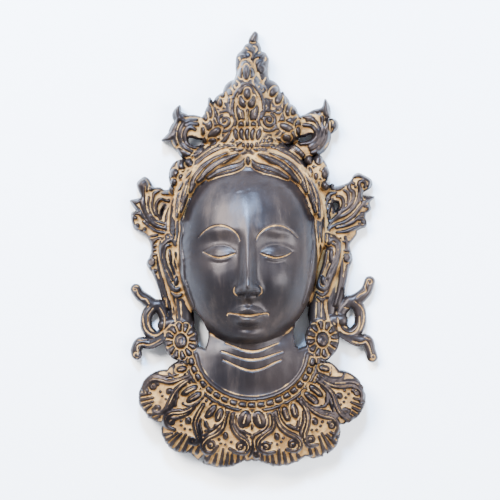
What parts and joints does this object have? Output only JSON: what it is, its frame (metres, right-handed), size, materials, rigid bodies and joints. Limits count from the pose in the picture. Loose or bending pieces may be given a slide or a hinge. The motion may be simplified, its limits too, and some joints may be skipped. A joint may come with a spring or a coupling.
{
  "type": "wall mask",
  "caption": "Hollow cast wall mask of a calm crowned goddess: scrolling crown, openwork wings, long ears with rosette earrings, fluttering ribbons and a scalloped lotus collar.",
  "frame": {"origin": "middle of the casting's box on the plane of its back rim", "axes": "+Z out of the back plane, through the face; +Y toward the tip of the crown; +X toward the viewer's right. The mask lies on its back rim, face up"},
  "size_m": [0.198, 0.3474, 0.072],
  "materials": {
    "patinated_brass": "dark worn patina, satin on the face, neck and raised carving, with a matt ochre deposit in the recesses"
  },
  "bodies": {
    "root": {"wall_mask": "patinated_brass"}
  },
  "joints": []
}
